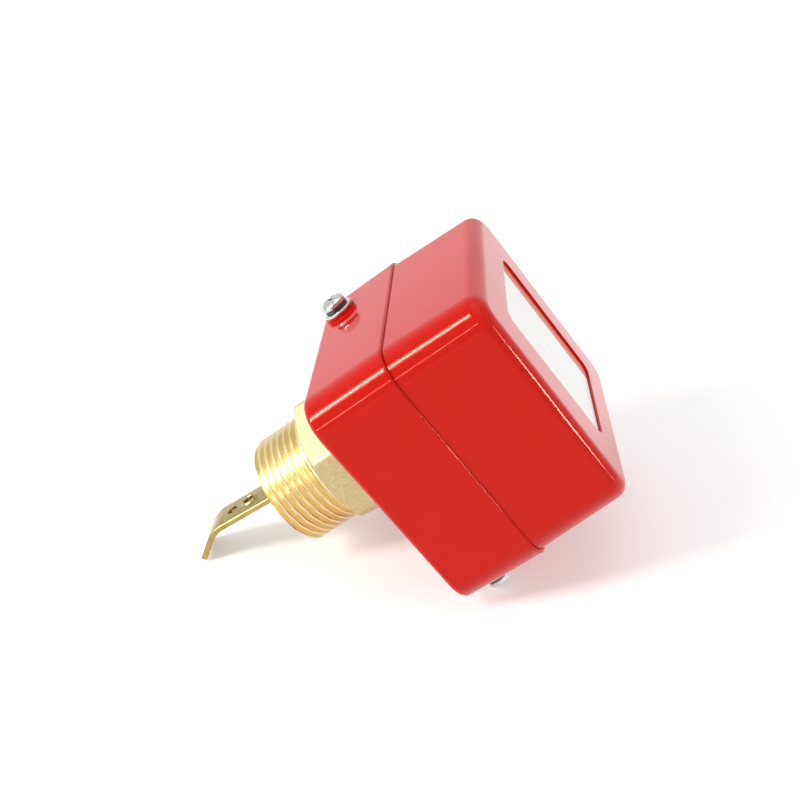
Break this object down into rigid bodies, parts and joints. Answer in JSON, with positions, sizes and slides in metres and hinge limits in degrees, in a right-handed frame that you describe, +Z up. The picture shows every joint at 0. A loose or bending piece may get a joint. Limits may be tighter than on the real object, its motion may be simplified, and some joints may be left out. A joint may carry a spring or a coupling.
{
  "type": "paddle flow switch",
  "caption": "Liquid flow switch: a red box over a brass hexagon and threaded nipple, with a bent arm that swings on a pivot and works a sprung switch.",
  "frame": {"origin": "on the nipple's axis, in the plane under the hexagon where the pipe thread starts", "axes": "+Z up the nipple's axis towards the cover, +X along the housing away from the nipple, +Y across it"},
  "size_m": [0.0826, 0.0776, 0.1212],
  "materials": {
    "cast_brass": "cast hexagon, machined pipe thread",
    "strip_brass": "rolled strip and turned brass",
    "red_shell": "glossy red moulding",
    "label": "white printed film with a red band",
    "rubber": "black rubber",
    "bright_steel": "bright nickel-plated steel",
    "zinc_steel": "zinc-plated sheet steel",
    "green_screw": "green-dyed zinc plating",
    "black_plastic": "black thermoset moulding",
    "insulator": "grey-brown fibre sheet",
    "plunger_plastic": "red-brown plastic"
  },
  "bodies": {
    "housing": {"brass_body": "cast_brass", "housing_base": "red_shell", "housing_cover": "red_shell", "rating_label": "label", "cover_gasket": "rubber", "cable_grommet": "rubber", "cover_flat_washers": "bright_steel", "cover_spring_washers": "bright_steel", "cover_screws": "bright_steel", "cover_nuts": "bright_steel", "mechanism_frame": "zinc_steel", "pivot_pin": "bright_steel", "pivot_clips": "bright_steel", "pivot_bushes": "strip_brass", "body_screws": "bright_steel", "ground_screw": "green_screw", "ground_washer": "strip_brass", "switch_body": "black_plastic", "switch_insulator": "insulator", "terminal_plates": "strip_brass", "terminal_screws": "bright_steel", "switch_screws": "bright_steel", "switch_nuts": "bright_steel", "range_spring": "bright_steel", "range_locknut": "strip_brass", "bellows": "strip_brass"},
    "paddle_lever": {"lever": "zinc_steel", "paddle_arm": "strip_brass", "arm_rivets": "bright_steel", "bellows_cap": "strip_brass"},
    "plunger": {"switch_plunger": "plunger_plastic"},
    "spring_seat": {"spring_seat": "strip_brass"},
    "range_screw": {"range_screw": "bright_steel"}
  },
  "joints": [
    {"name": "paddle_swing", "type": "hinge", "parent": "housing", "child": "paddle_lever", "pos_m": [0, 0, 0.0244], "axis": [0, -1, 0], "range_deg": [0, 6], "stiffness_Nm_per_rad": 0.16, "springref_deg": -8.59, "deforming": ["range_spring"]},
    {"name": "plunger_press", "type": "slide", "parent": "housing", "child": "plunger", "axis": [0, 0, 1], "range_m": [0, 0.0024]},
    {"name": "range_seat_travel", "type": "slide", "parent": "housing", "child": "spring_seat", "axis": [0, 0, -1], "range_m": [-0.002, 0.002], "deforming": ["range_spring"]},
    {"name": "range_screw_turn", "type": "hinge", "parent": "spring_seat", "child": "range_screw", "pos_m": [0.009, 0, 0.0421], "axis": [0, 0, -1], "range_deg": [-900, 900]}
  ],
  "couplings": [
    {"joint": "plunger_press", "follows": "paddle_swing", "m_per_rad": 0.0223},
    {"joint": "range_screw_turn", "follows": "range_seat_travel", "rad_per_m": 7854}
  ]
}
